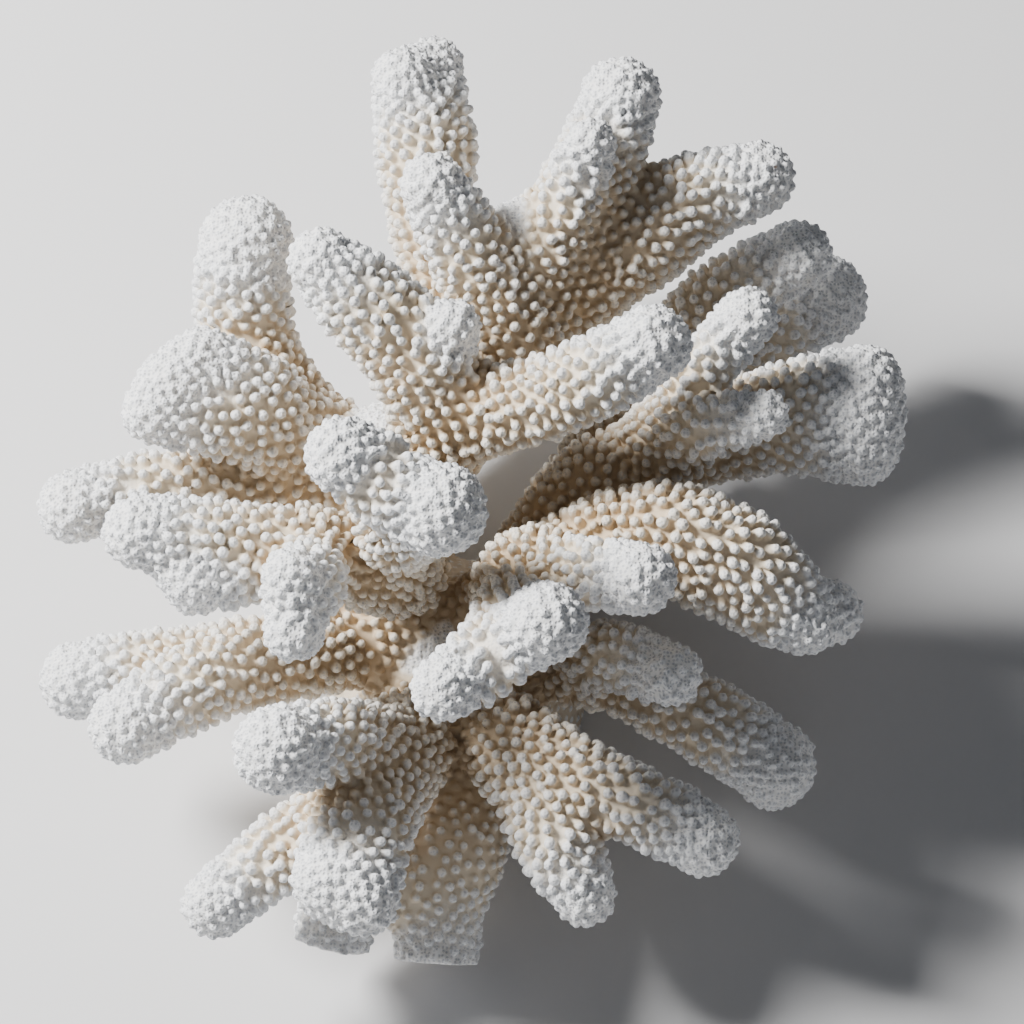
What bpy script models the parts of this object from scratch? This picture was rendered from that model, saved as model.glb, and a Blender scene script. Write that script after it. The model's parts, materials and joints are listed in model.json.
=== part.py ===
"""Branching coral: a bleached colony of stubby, knobbly fingers rising from a flat cut base.

Every finger is a run of spots read off one line of sight. Each limb is a ringed tube on
a smoothed run of spots, with raised lumps on a diamond lattice. A limb that grows from
another node leaves a stub there and starts as its own solid just past the fork.
"""
import math

import bmesh
import bpy
import numpy as np
from mathutils import Vector

MM = 0.001

# Line of sight the spots are read along: its rise above the ground and the eye's place
SIGHT_RISE = math.radians(60.0)
EYE_ACROSS = 12.1
EYE_UP = 39.2
EYE_DISTANCE = 1100.0

# Surface of the fingers, in mm
LUMP_SPACING = 6.1
LUMP_PROUD = 0.4
LUMP_SUNK = 1.9
LUMP_JITTER = 0.35
FEWEST_SIDES = 8

# Forks between limbs, in mm
FORK_FADE = 4.0
FORK_SUNK = 0.5
STUB_SPACING = 9.0
JOINT_GAP = 0.3
FORK_CLEARANCE = 1.7
SAMPLE_STEP = 1.0
BEND_WINDOW = 13

# Flat faces: the cut under the foot and the faces across the forks, in mm
CUT_BLOCK_SIZE = 160.0
FLAT_SNAP = 0.7
FLAT_MARGIN = 2.5
SMOOTH_FOOT_HEIGHT = 14.0

CORAL_COLOUR = (0.83, 0.78, 0.68, 1.0)
CORAL_ROUGHNESS = 0.85

# Facets larger than this stand for the surface from a step away, in mm2
FACET_AREA = 13.5

# Limbs: node, node it forks from, spots (across, up, toward the eye, radius) from root to tip
LIMBS = [
    # Foot of the colony and the two arms either side of the gap
    ("trunk", None, [(0, -2.5, -7, 29.5), (0, 0, 0, 29.5), (0, 1.5, 14, 24.5), (-0.5, 3.5, 28, 17)]),
    ("left_arm", "trunk", [(-2.5, 3.5, 18, 15), (-13, 17, 34, 11), (-13.5, 32, 40, 11),
                           (-12.5, 43, 42, 10.5), (-15.5, 54, 40, 10)]),
    ("right_arm", "trunk", [(2, 4, 18, 15.5), (12, 18.5, 32, 11.5), (20.5, 34, 36, 11),
                            (31.5, 45, 38, 10)]),
    ("right_arm", None, [(9.5, 17, 34, 10.5), (13, 23, 54, 10), (17, 26.5, 64, 9)]),
    # Fan at the back with its four fingers
    ("back_fan", "left_arm", [(-11.5, 40.5, 40, 10.5), (-3.5, 59.5, 36, 11), (9.5, 78, 36, 12.5),
                              (22.5, 99, 38, 11.5), (33, 120, 38, 10), (36, 130.5, 38, 9)]),
    ("back_fan", None, [(19.5, 97, 44, 9), (29.5, 120.5, 52, 6)]),
    ("back_fan", None, [(13, 81.5, 38, 11), (12, 98.5, 42, 9)]),
    ("back_left_finger", "back_fan", [(8.5, 76, 30, 10), (-3.5, 94.5, 28, 10.5),
                                      (-7.5, 116.5, 28, 10.5), (-12, 134, 30, 7.5)]),
    ("back_left_finger", None, [(-4, 119, 26, 8), (-5, 137.5, 22, 7)]),
    ("back_front_finger", "back_fan", [(11.5, 80.5, 42, 11.5), (2, 99, 52, 10), (-5.5, 111, 58, 7.5)]),
    ("back_right_finger", "back_fan", [(18.5, 86, 34, 11.5), (40.5, 100, 32, 13),
                                       (50, 107.5, 32, 11), (58.5, 110, 32, 10),
                                       (66.5, 112.5, 32, 8.5)]),
    # Upper branch that splits in a Y
    ("top_branch", "left_arm", [(-11.5, 39.5, 44, 9.5), (-4, 53, 58, 11), (-2.5, 62.5, 63, 11),
                                (-12, 78, 70, 12), (-23.5, 88, 74, 10.5), (-30, 94.5, 76, 8)]),
    ("top_branch", None, [(-6, 69.5, 68, 9), (-1, 80, 76, 6.5)]),
    ("top_branch_right", "top_branch", [(-2, 60, 62, 11), (19.5, 64, 74, 10), (33.5, 70.5, 80, 10),
                                        (43, 76, 84, 9)]),
    # Webbed fan on the left
    ("left_fan", "left_arm", [(-11.5, 35, 36, 10.5), (-24.5, 49.5, 36, 11), (-36.5, 57.5, 42, 11),
                              (-47.5, 66.5, 52, 10), (-55.5, 73.5, 56, 7)]),
    ("left_fan", None, [(-41, 57, 44, 10), (-51, 60, 54, 9.5), (-67, 61, 58, 7.5)]),
    ("left_fan", None, [(-44.5, 63.5, 46, 9), (-62.5, 67.5, 58, 7.5)]),
    ("left_fan_upper", "left_fan", [(-32.5, 57, 34, 10.5), (-44, 71, 36, 11), (-48, 86, 40, 11),
                                    (-46.5, 98, 42, 11)]),
    ("left_fan_lower", "left_fan", [(-30.5, 48.5, 36, 9), (-47.5, 45, 36, 9), (-67.5, 45, 42, 8.5),
                                    (-84, 40.5, 46, 8.5)]),
    # Left crown, nearer the eye, with a lobe hanging in front
    ("left_crown", "left_arm", [(-12, 26, 50, 9), (-21.5, 28, 66, 11), (-34.5, 31, 78, 9.5),
                                (-52, 32.5, 84, 9.5), (-69.5, 35, 86, 9)]),
    ("left_crown", None, [(-41, 28.5, 80, 9), (-57.5, 24, 86, 8)]),
    ("left_crown", None, [(-31, 29, 78, 9), (-34.5, 22, 98, 7.5), (-36, 13, 99, 7)]),
    ("left_crown", None, [(-33, 23, 92, 7.5), (-36.5, 25, 101, 6.5)]),
    # Two-lobed crown in the middle, nearest the eye
    ("centre_crown", "left_arm", [(-12, 25.5, 52, 9), (-13, 35, 84, 9), (-14.5, 46, 106, 8),
                                  (-25.5, 52.5, 112, 8)]),
    ("centre_crown", None, [(-12.5, 36.5, 88, 9), (-3, 40, 112, 8.5)]),
    ("centre_crown", None, [(-24.5, 51, 110, 7.5), (-14, 43.5, 108, 9.5), (-3.5, 40, 110, 9)]),
    # Low branch on the left
    ("left_low_branch", "trunk", [(-6, 12, 22, 11.5), (-28, 9, 40, 10), (-51, 4, 54, 10),
                                  (-64, -2, 62, 10), (-72.5, -8, 66, 9)]),
    ("left_low_branch", None, [(-47.5, 6, 46, 9), (-67.5, 5, 48, 9), (-83.5, 2, 48, 9)]),
    # Front left branch with an upper finger of its own
    ("front_left_branch", "trunk", [(-3.5, -3.5, 24, 12), (-11.5, -12, 50, 12), (-19, -24, 72, 12),
                                    (-21.5, -35, 84, 11), (-21, -46, 88, 8.5)]),
    ("front_left_branch", None, [(-22.5, -27.5, 76, 10), (-29, -42, 88, 8)]),
    ("front_left_branch", None, [(-19, -24, 68, 10), (-38, -35, 72, 9), (-53, -47, 72, 8)]),
    ("front_left_upper", "front_left_branch", [(-12.5, -13, 56, 10), (-27, -11.5, 84, 10),
                                               (-39.5, -13, 98, 10)]),
    # Low front branch, broken off flat at both ends
    ("front_low_branch", "trunk", [(0, -7.5, 22, 13), (1, -29.5, 40, 12), (-3.5, -43, 46, 10.5),
                                   (-4.5, -59.5, 46, 10)]),
    ("front_low_branch", None, [(-1, -38, 44, 9), (-16, -43, 50, 9), (-26, -46.5, 53, 9.5),
                                (-28, -56, 52, 9)]),
    # Front right branch
    ("front_right_branch", "trunk", [(3, -2, 26, 12), (11.5, -12, 52, 11), (18, -22, 62, 10.5),
                                     (23, -35, 66, 10), (28, -45.5, 66, 7)]),
    ("front_right_branch", None, [(13, -13, 54, 10.5), (32.5, -22.5, 66, 9.5), (46, -28, 68, 9),
                                  (54, -33, 68, 8.5)]),
    # Low branch on the right
    ("right_low_branch", "trunk", [(7.5, 5.5, 20, 11), (22.5, 7, 36, 8.5), (40.5, 1, 40, 9),
                                   (57, -7.5, 40, 10), (69.5, -16.5, 38, 10)]),
    ("right_low_finger", "right_low_branch", [(26, 5.5, 39, 7.5), (34, 8, 60, 8.5),
                                              (46.5, 3.5, 72, 7.5)]),
    # Right crown: a long lobe in front, a finger beside it and the big arch behind
    ("right_crown_front", "right_arm", [(13, 22, 54, 9), (13, 15.5, 86, 8.5), (20.5, 15, 108, 8)]),
    ("right_crown_front", None, [(13, 17.5, 78, 8.5), (7.5, 7.5, 98, 8.5), (-3, 0.5, 106, 8)]),
    ("right_crown_front", None, [(6, 6, 100, 7.5), (19, 14.5, 107, 7.5)]),
    ("right_crown_side", "right_arm", [(16, 26, 60, 9), (29.5, 25.5, 80, 8.5), (40.5, 24.5, 90, 8.5)]),
    ("right_arch", "right_arm", [(16, 25.5, 48, 9), (31, 35.5, 58, 9), (47.5, 37, 66, 10),
                                 (64.5, 30, 66, 10), (75, 18.5, 60, 8.5), (77, 14.5, 60, 7)]),
    ("right_arch", None, [(36, 32, 60, 8.5), (51.5, 28, 64, 9), (68, 18.5, 60, 8.5),
                          (82.5, 17, 46, 7.5)]),
    # Wide fan on the right with two thin fingers in front
    ("right_fan", "right_arm", [(26, 39.5, 36, 10), (42.5, 53, 42, 10), (58, 59, 44, 9.5),
                                (74.5, 63.5, 46, 9), (90, 68, 48, 8.5)]),
    ("right_fan", None, [(51.5, 55, 42, 9.5), (73.5, 57, 44, 9), (89, 52.5, 46, 8)]),
    ("right_fan", None, [(75.5, 60.5, 46, 9), (88, 60.5, 47, 10)]),
    ("right_fan", None, [(46.5, 54.5, 50, 8.5), (56, 58.5, 66, 7.5), (67.5, 60.5, 72, 6)]),
    ("right_fan", None, [(47, 55, 46, 8.5), (53, 69.5, 60, 7.5), (64, 82, 68, 7)]),
    # Branch at the upper right, behind the fan
    ("upper_right_branch", "right_arm", [(22.5, 36.5, 26, 10), (41.5, 68, 14, 9),
                                         (58, 87.5, 18, 8.5), (74.5, 95.5, 20, 8.5)]),
    ("upper_right_branch", None, [(40.5, 65, 10, 9), (66.5, 78, -4, 9.5), (80.5, 86, -8, 10)]),
    # Low branches at the rear, out of sight from the front
    ("rear_branch", "trunk", [(-2.5, 6.5, 6, 12.5), (-11.5, 26.5, -2, 10), (-7, 53, -8, 10),
                              (10.5, 78, -16, 9.5), (22.5, 95.5, -22, 9)]),
    ("rear_branch", None, [(-2.5, 61.5, -6, 9), (-1, 79, -4, 9), (-0.5, 94, 0, 8.5)]),
    ("rear_left_branch", "trunk", [(-6, 5.5, 8, 12), (-21.5, 28.5, -4, 9.5), (-32.5, 46, -8, 9),
                                   (-42, 57.5, -10, 9)]),
    ("rear_right_branch", "trunk", [(5, 6.5, 12, 12), (22.5, 28.5, 2, 9.5), (37, 44, -6, 9),
                                    (46.5, 55, -8, 8)]),
]
BROKEN_ENDS = ("front_low_branch",)


def spot_in_world(spot):
    """Turn a spot read along the line of sight into x, y, z and radius in mm."""
    across, up, toward, radius = spot
    nearness = toward / EYE_DISTANCE
    across += (EYE_ACROSS - across) * nearness
    up += (EYE_UP - up) * nearness
    y = up * math.sin(SIGHT_RISE) - toward * math.cos(SIGHT_RISE)
    z = up * math.cos(SIGHT_RISE) + toward * math.sin(SIGHT_RISE)
    return (across, y, z, radius * (1.0 - nearness))


def smooth_run(spots):
    """Resample the spots evenly and round off their bends, keeping both ends in place."""
    corners = np.array([spot_in_world(spot) for spot in spots])
    lengths = np.linalg.norm(np.diff(corners[:, :3], axis=0), axis=1)
    along = np.concatenate(([0.0], np.cumsum(lengths)))
    count = max(int(round(along[-1] / SAMPLE_STEP)), 4) + 1
    even = np.linspace(0.0, along[-1], count)
    run = np.column_stack([np.interp(even, along, corners[:, axis]) for axis in range(4)])
    window = min(BEND_WINDOW, 2 * ((count - 1) // 2) - 1)
    half = window // 2
    head = 2.0 * run[0] - run[half:0:-1]
    tail = 2.0 * run[-1] - run[-2:-half - 2:-1]
    padded = np.vstack([head, run, tail])
    weights = np.ones(window) / window
    return np.column_stack([np.convolve(padded[:, axis], weights, "valid") for axis in range(4)])


class Limb:
    """One finger or stem: its run of centres and radii, with a frame carried along it."""

    def __init__(self, order, node, parent, spots):
        self.order = order
        self.node = node
        self.parent = parent
        self.run = smooth_run(spots)
        self.centres = self.run[:, :3]
        self.radii = self.run[:, 3]
        self.broken = node in BROKEN_ENDS
        self.fork = 0
        self.carry_frame()
        around = 2.0 * math.pi * float(np.median(self.radii)) / LUMP_SPACING
        self.sides = max(2 * int(round(around / 2.0)), FEWEST_SIDES)

    def carry_frame(self):
        tangents = np.gradient(self.centres, axis=0)
        self.tangents = tangents / np.linalg.norm(tangents, axis=1)[:, None]
        first = np.cross(self.tangents[0], (0.0, 0.0, 1.0))
        if np.linalg.norm(first) < 0.1:
            first = np.cross(self.tangents[0], (1.0, 0.0, 0.0))
        normals = [first / np.linalg.norm(first)]
        for tangent in self.tangents[1:]:
            carried = normals[-1] - tangent * np.dot(normals[-1], tangent)
            normals.append(carried / np.linalg.norm(carried))
        self.normals = np.array(normals)
        self.binormals = np.cross(self.tangents, self.normals)

    def disc(self, index):
        """Points spread over the disc across the limb at one sample, for clearance tests."""
        angles = np.linspace(0.0, 2.0 * math.pi, 20, endpoint=False)[:, None]
        radial = np.cos(angles) * self.normals[index] + np.sin(angles) * self.binormals[index]
        reach = self.radii[index] + LUMP_PROUD
        rings = [self.centres[index] + radial * reach * share for share in (0.35, 0.7, 1.0)]
        return np.vstack(rings + [self.centres[index][None, :]])

    def distance(self, points):
        """Distance from each point to this limb's rounded surface, negative inside."""
        away = np.linalg.norm(points[:, None, :] - self.centres[None, :, :], axis=2)
        return (away - self.radii[None, :]).min(axis=1)


def grows_from(node, root, parents):
    """True where the node is the root or a branch of its branches."""
    while node != root and node in parents:
        node = parents[node]
    return node == root


def find_fork(limb, limbs):
    """First sample past which the limb stands clear of all that doesn't grow from its node."""
    parents = {other.node: other.parent for other in limbs if other.parent}
    others = [other for other in limbs if not grows_from(other.node, limb.node, parents)]
    fork = 0
    for index in range(len(limb.centres)):
        points = limb.disc(index)
        clear = min(other.distance(points).min() for other in others)
        if clear < FORK_CLEARANCE:
            fork = index + 1
    if fork > len(limb.centres) - 3:
        raise ValueError("limb of " + limb.node + " never clears its fork")
    return fork


def lump_scale(point, neighbours):
    """Lumps fade out towards the smooth foot and where another limb runs close by."""
    scale = min(max(point[2] / SMOOTH_FOOT_HEIGHT, 0.15), 1.0)
    for other in neighbours:
        away = float(other.distance(point[None, :])[0])
        scale = min(scale, max(away / FORK_FADE, 0.0))
    return scale


def ring_points(limb, index, shift, ring, noise, neighbours):
    """Corners of one ring, alternately raised and sunk."""
    centre = limb.centres[index] + limb.tangents[index] * shift
    points = []
    for side in range(limb.sides):
        angle = 2.0 * math.pi * side / limb.sides
        radial = math.cos(angle) * limb.normals[index] + math.sin(angle) * limb.binormals[index]
        height = LUMP_PROUD if (ring + side) % 2 == 0 else -LUMP_SUNK
        height += noise.uniform(-LUMP_JITTER, LUMP_JITTER)
        scale = lump_scale(centre + radial * limb.radii[index], neighbours)
        reach = limb.radii[index] + scale * height - (1.0 - scale) * FORK_SUNK
        points.append(centre + radial * reach)
    return points


def tip_points(limb, lift, ring, noise):
    """Corners of one ring on the rounded tip, lifted by an angle from its equator."""
    centre = limb.centres[-1]
    radius = limb.radii[-1]
    points = []
    for side in range(limb.sides):
        angle = 2.0 * math.pi * side / limb.sides
        radial = math.cos(angle) * limb.normals[-1] + math.sin(angle) * limb.binormals[-1]
        outward = radial * math.cos(lift) + limb.tangents[-1] * math.sin(lift)
        height = LUMP_PROUD if (ring + side) % 2 == 0 else -0.6 * LUMP_SUNK
        points.append(centre + outward * (radius + height + noise.uniform(-LUMP_JITTER, LUMP_JITTER)))
    return points


def tube_mesh(limb, first, last, has_tip, neighbours):
    """Closed tube over part of a limb, from sample first to sample last."""
    noise = np.random.RandomState(100 + limb.order)
    spacing = LUMP_SPACING if has_tip else STUB_SPACING
    steps = max(int(round((last - first) * SAMPLE_STEP / spacing)), 1)
    stations = np.round(np.linspace(first, last, steps + 1)).astype(int)
    rings = []
    for number, index in enumerate(stations):
        shift = 0.0
        if index == first and first > 0:
            shift = JOINT_GAP / 2.0
        if index == last and not has_tip:
            shift = -JOINT_GAP / 2.0
        rings.append(ring_points(limb, index, shift, number, noise, neighbours))
    rounded = has_tip and not limb.broken
    if rounded:
        for lift in (math.radians(36.0), math.radians(66.0)):
            rings.append(tip_points(limb, lift, len(rings), noise))
    mesh = bmesh.new()
    corners = [[mesh.verts.new(point * MM) for point in ring] for ring in rings]
    for number in range(len(corners) - 1):
        low_ring = corners[number]
        high_ring = corners[number + 1]
        for side in range(limb.sides):
            after = (side + 1) % limb.sides
            quad = (low_ring[side], low_ring[after], high_ring[after], high_ring[side])
            if (number + side) % 2 == 0:
                mesh.faces.new((quad[0], quad[1], quad[3]))
                mesh.faces.new((quad[1], quad[2], quad[3]))
            else:
                mesh.faces.new((quad[0], quad[1], quad[2]))
                mesh.faces.new((quad[0], quad[2], quad[3]))
    mesh.faces.new(list(reversed(corners[0])))
    if rounded:
        peak = limb.centres[-1] + limb.tangents[-1] * (limb.radii[-1] - 0.3)
        pole = mesh.verts.new(peak * MM)
        for side in range(limb.sides):
            mesh.faces.new((corners[-1][side], corners[-1][(side + 1) % limb.sides], pole))
    else:
        mesh.faces.new(corners[-1])
    bmesh.ops.recalc_face_normals(mesh, faces=mesh.faces)
    return mesh


def add_object(name, mesh):
    data = bpy.data.meshes.new(name)
    mesh.to_mesh(data)
    mesh.free()
    obj = bpy.data.objects.new(name, data)
    bpy.context.collection.objects.link(obj)
    return obj


def combine(base, others, operation):
    """Fuse or cut the base with each of the others, then drop them."""
    for other in others:
        step = base.modifiers.new(operation.lower(), "BOOLEAN")
        step.operation = operation
        step.solver = "EXACT"
        step.object = other
    graph = bpy.context.evaluated_depsgraph_get()
    result = bpy.data.meshes.new_from_object(base.evaluated_get(graph))
    base.modifiers.clear()
    base.data = result
    for other in others:
        bpy.data.objects.remove(other, do_unlink=True)


def flat_faces(name, limbs):
    """Flat faces of a node: its root first, then one per limb that forks from it."""
    faces = []
    for limb in limbs:
        if name in (limb.node, limb.parent) and limb.parent:
            side = 1.0 if limb.node == name else -1.0
            outward = limb.tangents[limb.fork] * -side
            centre = limb.centres[limb.fork] - outward * JOINT_GAP / 2.0
            faces.append((centre * MM, outward, (limb.radii[limb.fork] + FLAT_MARGIN) * MM))
    return faces


def cut_block(centre, outward):
    """Block on the far side of a flat face."""
    mesh = bmesh.new()
    bmesh.ops.create_cube(mesh, size=CUT_BLOCK_SIZE * MM)
    bmesh.ops.translate(mesh, verts=mesh.verts, vec=(0.0, 0.0, CUT_BLOCK_SIZE * MM / 2.0))
    turn = Vector((0.0, 0.0, 1.0)).rotation_difference(Vector(outward))
    bmesh.ops.rotate(mesh, verts=mesh.verts, cent=(0.0, 0.0, 0.0), matrix=turn.to_matrix())
    bmesh.ops.translate(mesh, verts=mesh.verts, vec=Vector(centre))
    return add_object("cut_block", mesh)


def thin_out(obj):
    """Merge slivers left by the unions until the facets are as large as the rest."""
    area = sum(face.area for face in obj.data.polygons) / (MM * MM)
    wanted = area / FACET_AREA
    held = sum(len(face.vertices) - 2 for face in obj.data.polygons)
    if held > wanted:
        step = obj.modifiers.new("thin_out", "DECIMATE")
        step.ratio = wanted / held
        combine(obj, [], "UNION")


def tidy_mesh(obj, faces, origin):
    """Press the flat faces level, triangulate, and set the object's origin at its root."""
    mesh = bmesh.new()
    mesh.from_mesh(obj.data)
    # Thinning out can leave an edge with no face on either side
    bare_edges = [edge for edge in mesh.edges if not edge.link_faces]
    bmesh.ops.delete(mesh, geom=bare_edges, context="EDGES")
    bare_corners = [corner for corner in mesh.verts if not corner.link_faces]
    bmesh.ops.delete(mesh, geom=bare_corners, context="VERTS")
    for centre, outward, reach in faces:
        for corner in mesh.verts:
            offset = np.array(corner.co) - centre
            height = float(np.dot(offset, outward))
            if abs(height) < FLAT_SNAP * MM and np.linalg.norm(offset) < reach:
                corner.co -= Vector(outward) * height
    bmesh.ops.triangulate(mesh, faces=mesh.faces)
    bmesh.ops.translate(mesh, verts=mesh.verts, vec=-origin)
    mesh.to_mesh(obj.data)
    mesh.free()
    obj.data.name = obj.name
    obj.location = origin


def coral_material(name):
    material = bpy.data.materials.new(name)
    material.use_nodes = True
    shader = material.node_tree.nodes["Principled BSDF"]
    shader.inputs["Base Color"].default_value = CORAL_COLOUR
    shader.inputs["Roughness"].default_value = CORAL_ROUGHNESS
    material.diffuse_color = CORAL_COLOUR
    return material


def build_node(name, limbs):
    """One closed solid: the node's own limbs and the stubs of those that fork from it."""
    pieces = []
    origin = None
    own = [limb for limb in limbs if limb.node == name]
    forking = [limb for limb in limbs if limb.parent == name]
    for limb in own + forking:
        neighbours = [other for other in own + forking if other is not limb]
        if limb in own:
            mesh = tube_mesh(limb, limb.fork, len(limb.centres) - 1, True, neighbours)
        else:
            mesh = tube_mesh(limb, 0, limb.fork, False, neighbours)
        pieces.append(add_object("limb", mesh))
        if origin is None:
            origin = Vector(limb.centres[limb.fork]) * MM
    obj = pieces[0]
    obj.name = name
    combine(obj, pieces[1:], "UNION")
    faces = flat_faces(name, limbs)
    if name == "trunk":
        faces.insert(0, (np.zeros(3), np.array((0.0, 0.0, -1.0)), CUT_BLOCK_SIZE * MM))
        origin = Vector((0.0, 0.0, 0.0))
    if len(pieces) > 1:
        combine(obj, [cut_block(*faces[0][:2])], "DIFFERENCE")
        thin_out(obj)
    tidy_mesh(obj, faces, origin)
    obj.data.materials.clear()
    obj.data.materials.append(coral_material(name))


def build_coral():
    for obj in list(bpy.data.objects):
        bpy.data.objects.remove(obj, do_unlink=True)
    limbs = [Limb(order, *row) for order, row in enumerate(LIMBS)]
    for limb in limbs:
        if limb.parent:
            limb.fork = find_fork(limb, limbs)
    for name in dict.fromkeys(limb.node for limb in limbs):
        build_node(name, limbs)


build_coral()
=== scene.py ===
# Branching coral: knobbly bleached fingers, grown as one surface and divided at the forks.
import json
import math

import bpy
import numpy as np
import openvdb
from mathutils import Matrix, Vector
from mathutils.bvhtree import BVHTree

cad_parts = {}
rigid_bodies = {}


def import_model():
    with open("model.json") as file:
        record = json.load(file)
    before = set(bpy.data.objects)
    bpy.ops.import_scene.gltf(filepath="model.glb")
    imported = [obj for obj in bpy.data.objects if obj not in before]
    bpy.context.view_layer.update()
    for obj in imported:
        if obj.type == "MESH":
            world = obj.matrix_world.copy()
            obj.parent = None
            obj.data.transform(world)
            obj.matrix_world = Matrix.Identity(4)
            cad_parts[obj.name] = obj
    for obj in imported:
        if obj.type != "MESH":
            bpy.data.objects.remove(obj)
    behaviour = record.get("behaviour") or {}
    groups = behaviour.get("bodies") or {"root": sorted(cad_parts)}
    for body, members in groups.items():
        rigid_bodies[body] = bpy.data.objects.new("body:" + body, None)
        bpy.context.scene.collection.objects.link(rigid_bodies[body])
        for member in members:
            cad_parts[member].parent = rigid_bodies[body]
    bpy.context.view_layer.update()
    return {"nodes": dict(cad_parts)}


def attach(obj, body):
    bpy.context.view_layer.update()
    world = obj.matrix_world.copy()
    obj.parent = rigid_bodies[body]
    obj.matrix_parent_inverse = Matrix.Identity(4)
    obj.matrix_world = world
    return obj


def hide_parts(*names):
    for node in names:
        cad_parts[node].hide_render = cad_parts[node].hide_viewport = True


MM = 0.001

# Line of sight the spots are read along: its rise above the ground and the eye's place, in mm
SIGHT_RISE = math.radians(60.0)
EYE_ACROSS = 12.1
EYE_UP = 39.2
EYE_DISTANCE = 1100.0
SIGHT_WIDTH = 225.28
SENSOR_WIDTH = 36.0

# Volume grids, in mm: the coarse one holds the fingers, the fine one their warts as well
FINE_STEP = 0.54
COARSE_STEP = 2.0 * FINE_STEP
FAR_AWAY = 40.0
GRID_MARGIN = 6.0
LIMB_REACH = 7.0

# Steps of a grid: how far the fields count past the surface, how far below the cut the grid
# starts, and how far apart the field is read for a normal
BAND_STEPS = 2.5
STEPS_BELOW_CUT = 4.5
NORMAL_STEPS = 0.6

# Fingers, in mm: spacing of their samples, samples that a bend is averaged over, rounding at
# the forks, and the slow rise and fall of their sides
SAMPLE_STEP = 1.0
BEND_WINDOW = 13
FILLET = 6.5
BUMPY_STEP = 9.0
BUMPY_HEIGHT = 0.45

# An end this share of its radius inside another node's limb is no tip: it counts as this many
# mm further from one
BURIED_SHARE = 0.35
BURIED_END = 60.0

# Warts, in mm
WART_SPACING = 2.58
WART_SPACING_AT_TIP = 2.0
WART_FOOT_RADIUS = 1.26
WART_TOP_RADIUS = 1.14
WART_BLEND = 0.35
WART_DEPTH = 0.9
LOWEST_WART = 1.5
TIP_LENGTH = 8.0

# Places a wart may stand: shifted copies of the surface's corners
SPOT_COPIES = 4
SPOT_SHIFT = 0.6

# Warts, as shares: lean toward the tip, wander of that lean, slimming at the tip, how deep a low
# top may sink in its own radii, and how much of the height lies inside the limb's outline
WART_LEAN = 0.55
WART_WANDER = 0.08
SLIMMER_AT_TIP = 0.12
DEEPEST_TOP = 0.6
BASE_SHARE = 0.85
SPACING_SPREAD = (0.97, 1.05)
SIZE_SPREAD = (0.88, 1.1)
HEIGHT_SPREAD = (0.8, 1.15)

# Wart height along a finger: distance from the tip, and height there, in mm
HEIGHT_PLACES = (0.0, 2.0, 6.0, 55.0, 90.0)
HEIGHTS = (1.0, 1.7, 2.7, 3.1, 2.2)

# A broken branch, in mm: its highest warts, and how far around its end the break is cut
BROKEN_WART_HEIGHT = 1.6
BROKEN_MARGIN = 4.0

# Warts are lower near the cut of the foot: height in mm where that ends, and least share
SMOOTH_FOOT_HEIGHT = 14.0
LEAST_FOOT_SHARE = 0.25

# Shelter is how full of coral a box this wide is, in mm. The finish reads it this far off the
# surface and paints enclosed parts deep tan, partly stain and partly painted shade. Warts are
# lower where it is high
SHELTER_WIDTH = 16.0
SHELTER_LOOK = 6.0
SHELTERED_PLACES = (0.35, 0.6)
SHELTERED_SHARES = (1.0, 0.6)

# Values the finish reads: least wart height that a lift is divided by, most relief, and the
# distance from the tip, in mm, that counts as one
LEAST_HEIGHT = 0.5
MOST_RELIEF = 1.2
TIP_SCALE = 100.0

# The mesh and its division: triangles kept, how deep the hidden rims turn in and how far a
# corner may stand over its root, in mm, and rounds of smoothing
MOST_TRIANGLES = 935000
CAP_DEPTH = 1.2
MOST_LIFT = 3.5
LABEL_TURNS = 4

# Start of the random draws, and guards of the sums
SEED = 11
WEIGHT_LIMIT = 20.0
TINY = 1e-9

# Skin: cups to a metre, their depth in metres, and colours
CUP_SCALE = 1120.0
CUP_UNEVENNESS = 0.65
CUP_DEPTH = 0.0002
# Valley cream: darker than the wart tops, partly the coral's tone and partly painted shade in the hollows
CREAM_AND_PAINTED_SHADE = (0.79, 0.71, 0.58, 1.0)
# Deep tan of enclosed stems: partly the coral's stain, partly painted shade and bounce light
TAN_AND_PAINTED_SHADE = (0.56, 0.44, 0.30, 1.0)
TIP_VALLEY = (0.88, 0.87, 0.85, 1.0)
# Whites of the wart tops: partly the coral's tone, partly a painted tint of warm bounce light within and cool
# lamp light at the tips
WARM_WHITE_AND_BOUNCE = (0.79, 0.73, 0.63, 1.0)
COOL_WHITE_AND_LAMP_TINT = (0.86, 0.87, 0.88, 1.0)
# Painted shade in the tiny cup pits
PIT_SHADE_COLOUR = (0.50, 0.52, 0.57, 1.0)
DARK_STAIN = (0.10, 0.085, 0.07, 1.0)
RUSTY_STAIN = (0.42, 0.20, 0.07, 1.0)

# Skin: where each blend starts and ends
NEAR_TIP = (0.0, 0.17)
OUTER_PART = (0.04, 0.5)
OPEN_AIR = (0.12, 0.5)
RAISED_PART = (0.15, 0.85)
WHITE_PART = (0.1, 0.95)
PIT_PART = (0.10, 0.42)
WALL_PART = (0.10, 0.45)

# Skin: shares and scales of its mottling, cups, stains and shine
PATCH_SCALE = 60.0
PATCH_SHARE = 0.5
MOTTLE_SCALE = 420.0
MOTTLE_SHARE = 0.25
TIP_WHITENESS = 0.45
WART_SKIN_SHARE = 0.75
PIT_SHARE = 0.7
BUMP_STRENGTH = 0.8
STAIN_CORE = 0.3
STAIN_SHARE = 0.85
SKIN_ROUGHNESS = 0.8
SKIN_SHINE = 0.35

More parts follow.
